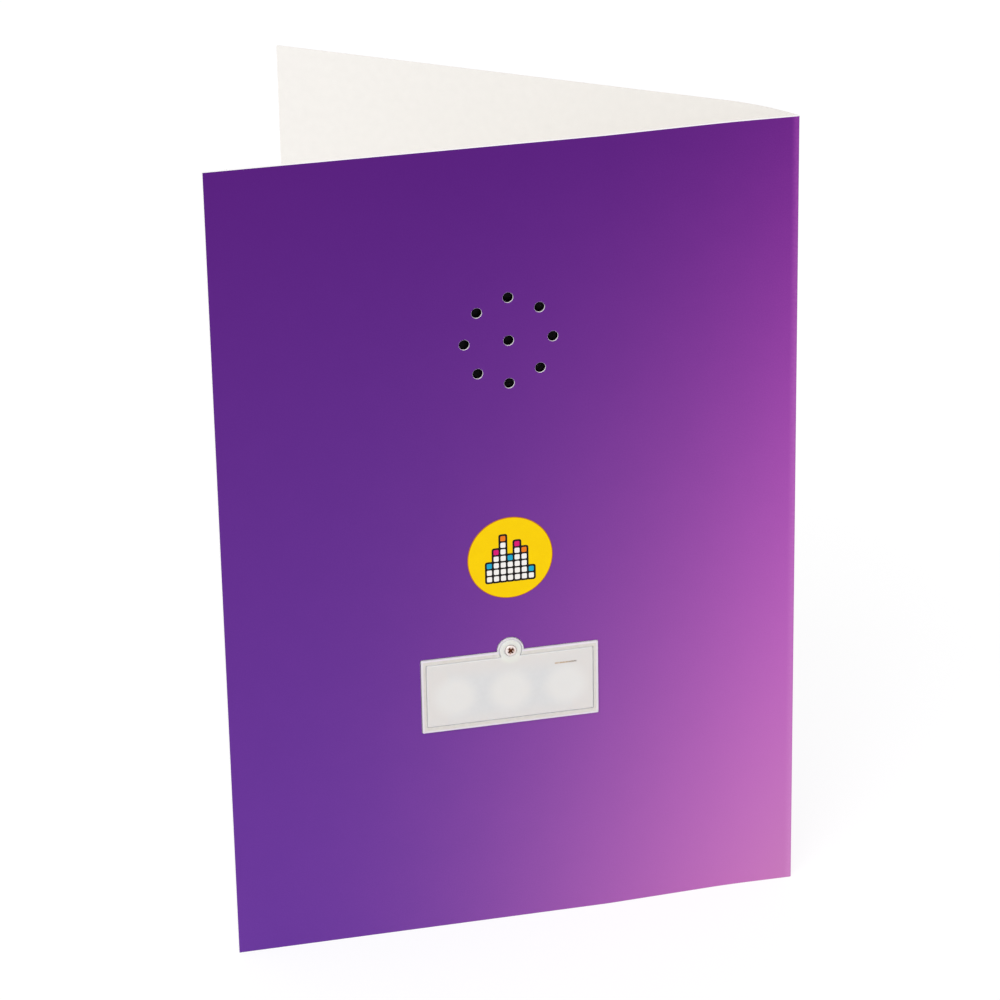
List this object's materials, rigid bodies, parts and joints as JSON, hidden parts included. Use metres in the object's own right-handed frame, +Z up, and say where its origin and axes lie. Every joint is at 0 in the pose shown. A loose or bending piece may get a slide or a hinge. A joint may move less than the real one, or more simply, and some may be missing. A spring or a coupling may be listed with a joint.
{
  "type": "recordable greeting card",
  "caption": "Folded greeting card that stands open, with a thin sound recorder behind its back leaf: speaker holes, a round label and a screwed battery cover outside, a record button inside.",
  "frame": {"origin": "on the surface that the card stands on, under the middle of its box", "axes": "+Z up along the fold; the back leaf's main part is parallel to XZ and its outer face looks towards -Y; the fold is at +X and the front leaf stands behind, towards +Y"},
  "size_m": [0.1484, 0.0992, 0.21],
  "materials": {
    "printed_card": "satin",
    "white_card": "matte",
    "label_film": "gloss",
    "milky_plastic": "satin",
    "cover_plastic": "satin",
    "screw_steel": "polished",
    "cell_steel": "polished",
    "contact_metal": "satin",
    "circuit_green": "gloss",
    "chip_black": "satin",
    "component_metal": "satin",
    "felt_black": "matte",
    "lamp_red": "gloss",
    "button_red": "gloss",
    "tongue_film": "gloss",
    "foam_tape": "matte",
    "thin_tape": "matte",
    "speaker_steel": "satin",
    "cone_film": "satin",
    "coil_copper": "satin",
    "magnet_nickel": "polished",
    "terminal_board": "matte",
    "solder": "satin",
    "insulation_red": "satin",
    "insulation_black": "satin"
  },
  "bodies": {
    "back_leaf": {"back_board": "printed_card", "spine_crease": "printed_card", "round_label": "label_film", "inner_liner": "white_card", "liner_tape": "thin_tape", "battery_box": "milky_plastic", "box_tape": "thin_tape", "negative_contact": "contact_metal", "positive_contact": "contact_metal", "series_contact_1": "contact_metal", "series_contact_2": "contact_metal", "button_cell_1": "cell_steel", "button_cell_2": "cell_steel", "button_cell_3": "cell_steel", "circuit_board": "circuit_green", "circuit_tape": "foam_tape", "sound_chip": "chip_black", "memory_chip": "chip_black", "resistors": "chip_black", "capacitors": "component_metal", "microphone": "component_metal", "microphone_felt": "felt_black", "record_lamp": "lamp_red", "switch_base": "chip_black", "play_switch_base": "chip_black", "play_switch_pad": "contact_metal", "play_switch_foot": "chip_black", "play_switch_leaf": "contact_metal", "tongue_strap": "tongue_film", "speaker_gasket": "foam_tape", "speaker_frame": "speaker_steel", "speaker_surround": "cone_film", "speaker_magnet": "magnet_nickel", "speaker_top_plate": "speaker_steel", "speaker_yoke": "speaker_steel", "speaker_terminals": "terminal_board", "solder_joints": "solder", "battery_lead_red": "insulation_red", "battery_lead_black": "insulation_black", "speaker_lead_red": "insulation_red", "speaker_lead_black": "insulation_black"},
    "front_leaf": {"front_board": "printed_card", "tongue_anchor": "tongue_film"},
    "battery_cover": {"battery_cover": "cover_plastic"},
    "cover_screw": {"cover_screw": "screw_steel"},
    "record_button": {"record_button": "button_red"},
    "tongue": {"tongue_slider": "tongue_film"},
    "diaphragm": {"speaker_cone": "cone_film", "voice_coil": "coil_copper"}
  },
  "joints": [
    {"name": "card_fold", "type": "hinge", "parent": "back_leaf", "child": "front_leaf", "pos_m": [0.07378, -0.04722, 0.105], "axis": [0, 0, -1], "range_deg": [-38.5, 140.5], "deforming": ["spine_crease", "tongue_strap"]},
    {"name": "tongue_slide", "type": "slide", "parent": "back_leaf", "child": "tongue", "axis": [1, 0, 0], "range_m": [-0.0016, 0.0057], "deforming": ["play_switch_leaf"]},
    {"name": "cover_lift", "type": "slide", "parent": "back_leaf", "child": "battery_cover", "axis": [0, -1, 0], "range_m": [0, 0.02]},
    {"name": "screw_withdraw", "type": "slide", "parent": "battery_cover", "child": "cover_screw", "axis": [0, -1, 0], "range_m": [0, 0.007]},
    {"name": "record_press", "type": "slide", "parent": "back_leaf", "child": "record_button", "axis": [0, -1, 0], "range_m": [0, 0.0004], "stiffness_N_per_m": 1500},
    {"name": "cone_travel", "type": "slide", "parent": "back_leaf", "child": "diaphragm", "axis": [0, 1, 0], "range_m": [-0.0003, 0.0003], "stiffness_N_per_m": 1000, "deforming": ["speaker_surround"]}
  ],
  "couplings": [
    {"joint": "tongue_slide", "follows": "card_fold", "m_per_rad": 0.0023}
  ]
}
